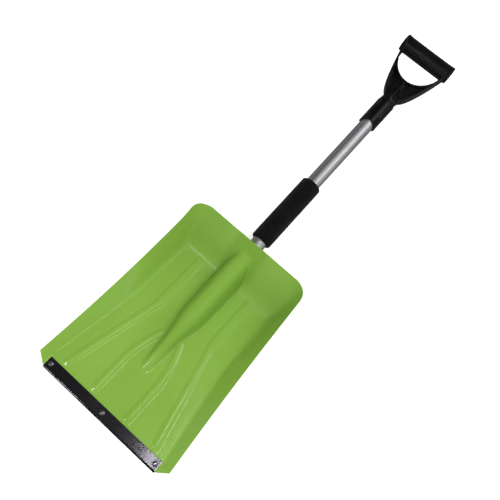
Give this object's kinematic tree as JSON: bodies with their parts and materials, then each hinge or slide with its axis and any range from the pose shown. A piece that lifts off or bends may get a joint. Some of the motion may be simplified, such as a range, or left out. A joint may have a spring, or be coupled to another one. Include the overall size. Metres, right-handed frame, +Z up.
{
  "type": "snow shovel",
  "caption": "Compact snow shovel with a moulded scoop, folded metal wear strip, plug-in aluminium shaft, foam hand grip and D-grip.",
  "frame": {"origin": "middle of the cutting edge, at ground level", "axes": "+Y from the cutting edge towards the D-grip, +X to the shovel's right seen from the handle's scooping side, +Z up out of the scoop"},
  "size_m": [0.2624, 0.8237, 0.1051],
  "materials": {
    "scoop_plastic": "glossy moulded polypropylene",
    "strip_metal": "polished sheet steel",
    "rivet_aluminium": "satin",
    "mandrel_steel": "bright",
    "tube_aluminium": "drawn and anodised",
    "foam": "closed-cell foam, matt",
    "grip_plastic": "satin moulded",
    "screw_steel": "zinc plated",
    "button_steel": "plated",
    "spring_steel": "bright spring steel"
  },
  "bodies": {
    "scoop": {"scoop_blade": "scoop_plastic", "wear_strip": "strip_metal", "strip_rivets": "rivet_aluminium", "rivet_mandrels": "mandrel_steel"},
    "shaft": {"shaft_tube": "tube_aluminium", "foam_grip": "foam", "d_grip": "grip_plastic", "grip_screw": "screw_steel", "button_spring": "spring_steel"},
    "button": {"snap_button": "button_steel"}
  },
  "joints": [
    {"name": "shaft_pull", "type": "slide", "parent": "scoop", "child": "shaft", "axis": [0, 0.993, 0.1184], "range_m": [0, 0.15], "deforming": ["snap_button"]},
    {"name": "button_press", "type": "slide", "parent": "shaft", "child": "button", "axis": [0, -0.1184, 0.993], "range_m": [0, 0.0046], "deforming": ["button_spring"]}
  ]
}
